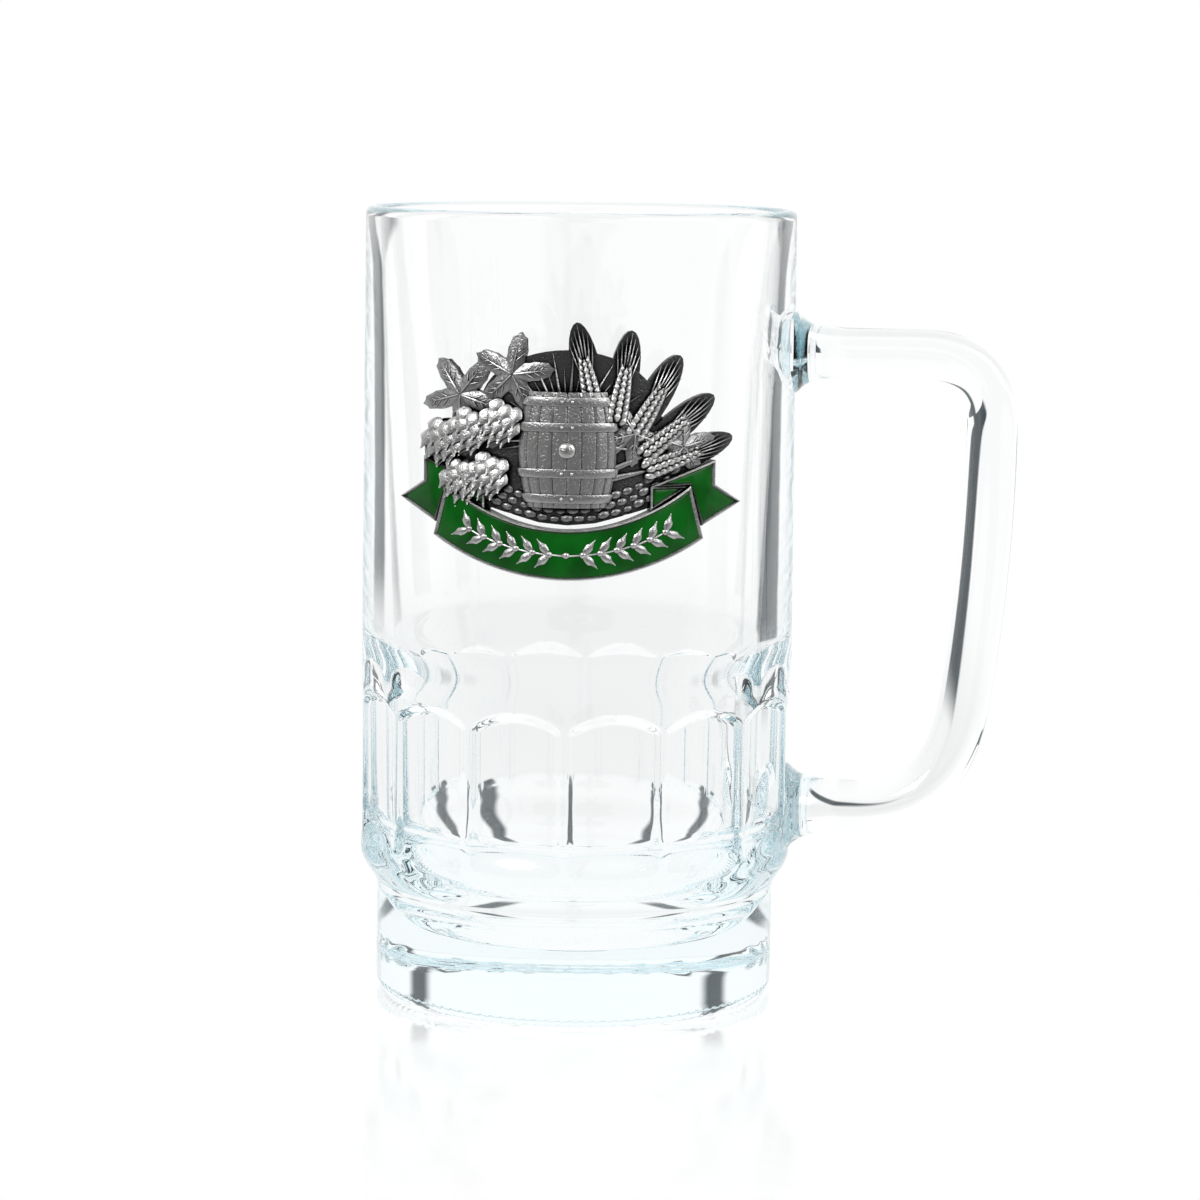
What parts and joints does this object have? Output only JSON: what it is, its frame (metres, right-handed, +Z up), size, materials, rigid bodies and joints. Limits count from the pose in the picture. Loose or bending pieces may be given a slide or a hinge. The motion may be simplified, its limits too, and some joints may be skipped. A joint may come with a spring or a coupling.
{
  "type": "glass beer mug",
  "caption": "Clear glass beer mug with a fluted belt, a thick foot, an applied bow handle and a cast relief badge with an enamelled ribbon.",
  "frame": {"origin": "middle of the foot's flat underside, on the mug's axis, in the plane that it stands on", "axes": "+Z up along the mug's axis, -Y towards the badge's side, +X towards the handle"},
  "size_m": [0.1262, 0.0885, 0.152],
  "materials": {
    "clear_glass": "fire-polished clear soda-lime glass",
    "pewter": "antiqued pewter, dark in the recesses and rubbed bright on the high points",
    "green_enamel": "glossy cold enamel, poured flush into the beds",
    "bonding_tape": "thin dark grey bonding tape"
  },
  "bodies": {
    "root": {"glass_body": "clear_glass", "handle": "clear_glass", "badge_casting": "pewter", "badge_adhesive": "bonding_tape", "enamel_front": "green_enamel", "enamel_left_fold": "green_enamel", "enamel_right_fold": "green_enamel", "enamel_left_tail": "green_enamel", "enamel_right_tail": "green_enamel"}
  },
  "joints": []
}
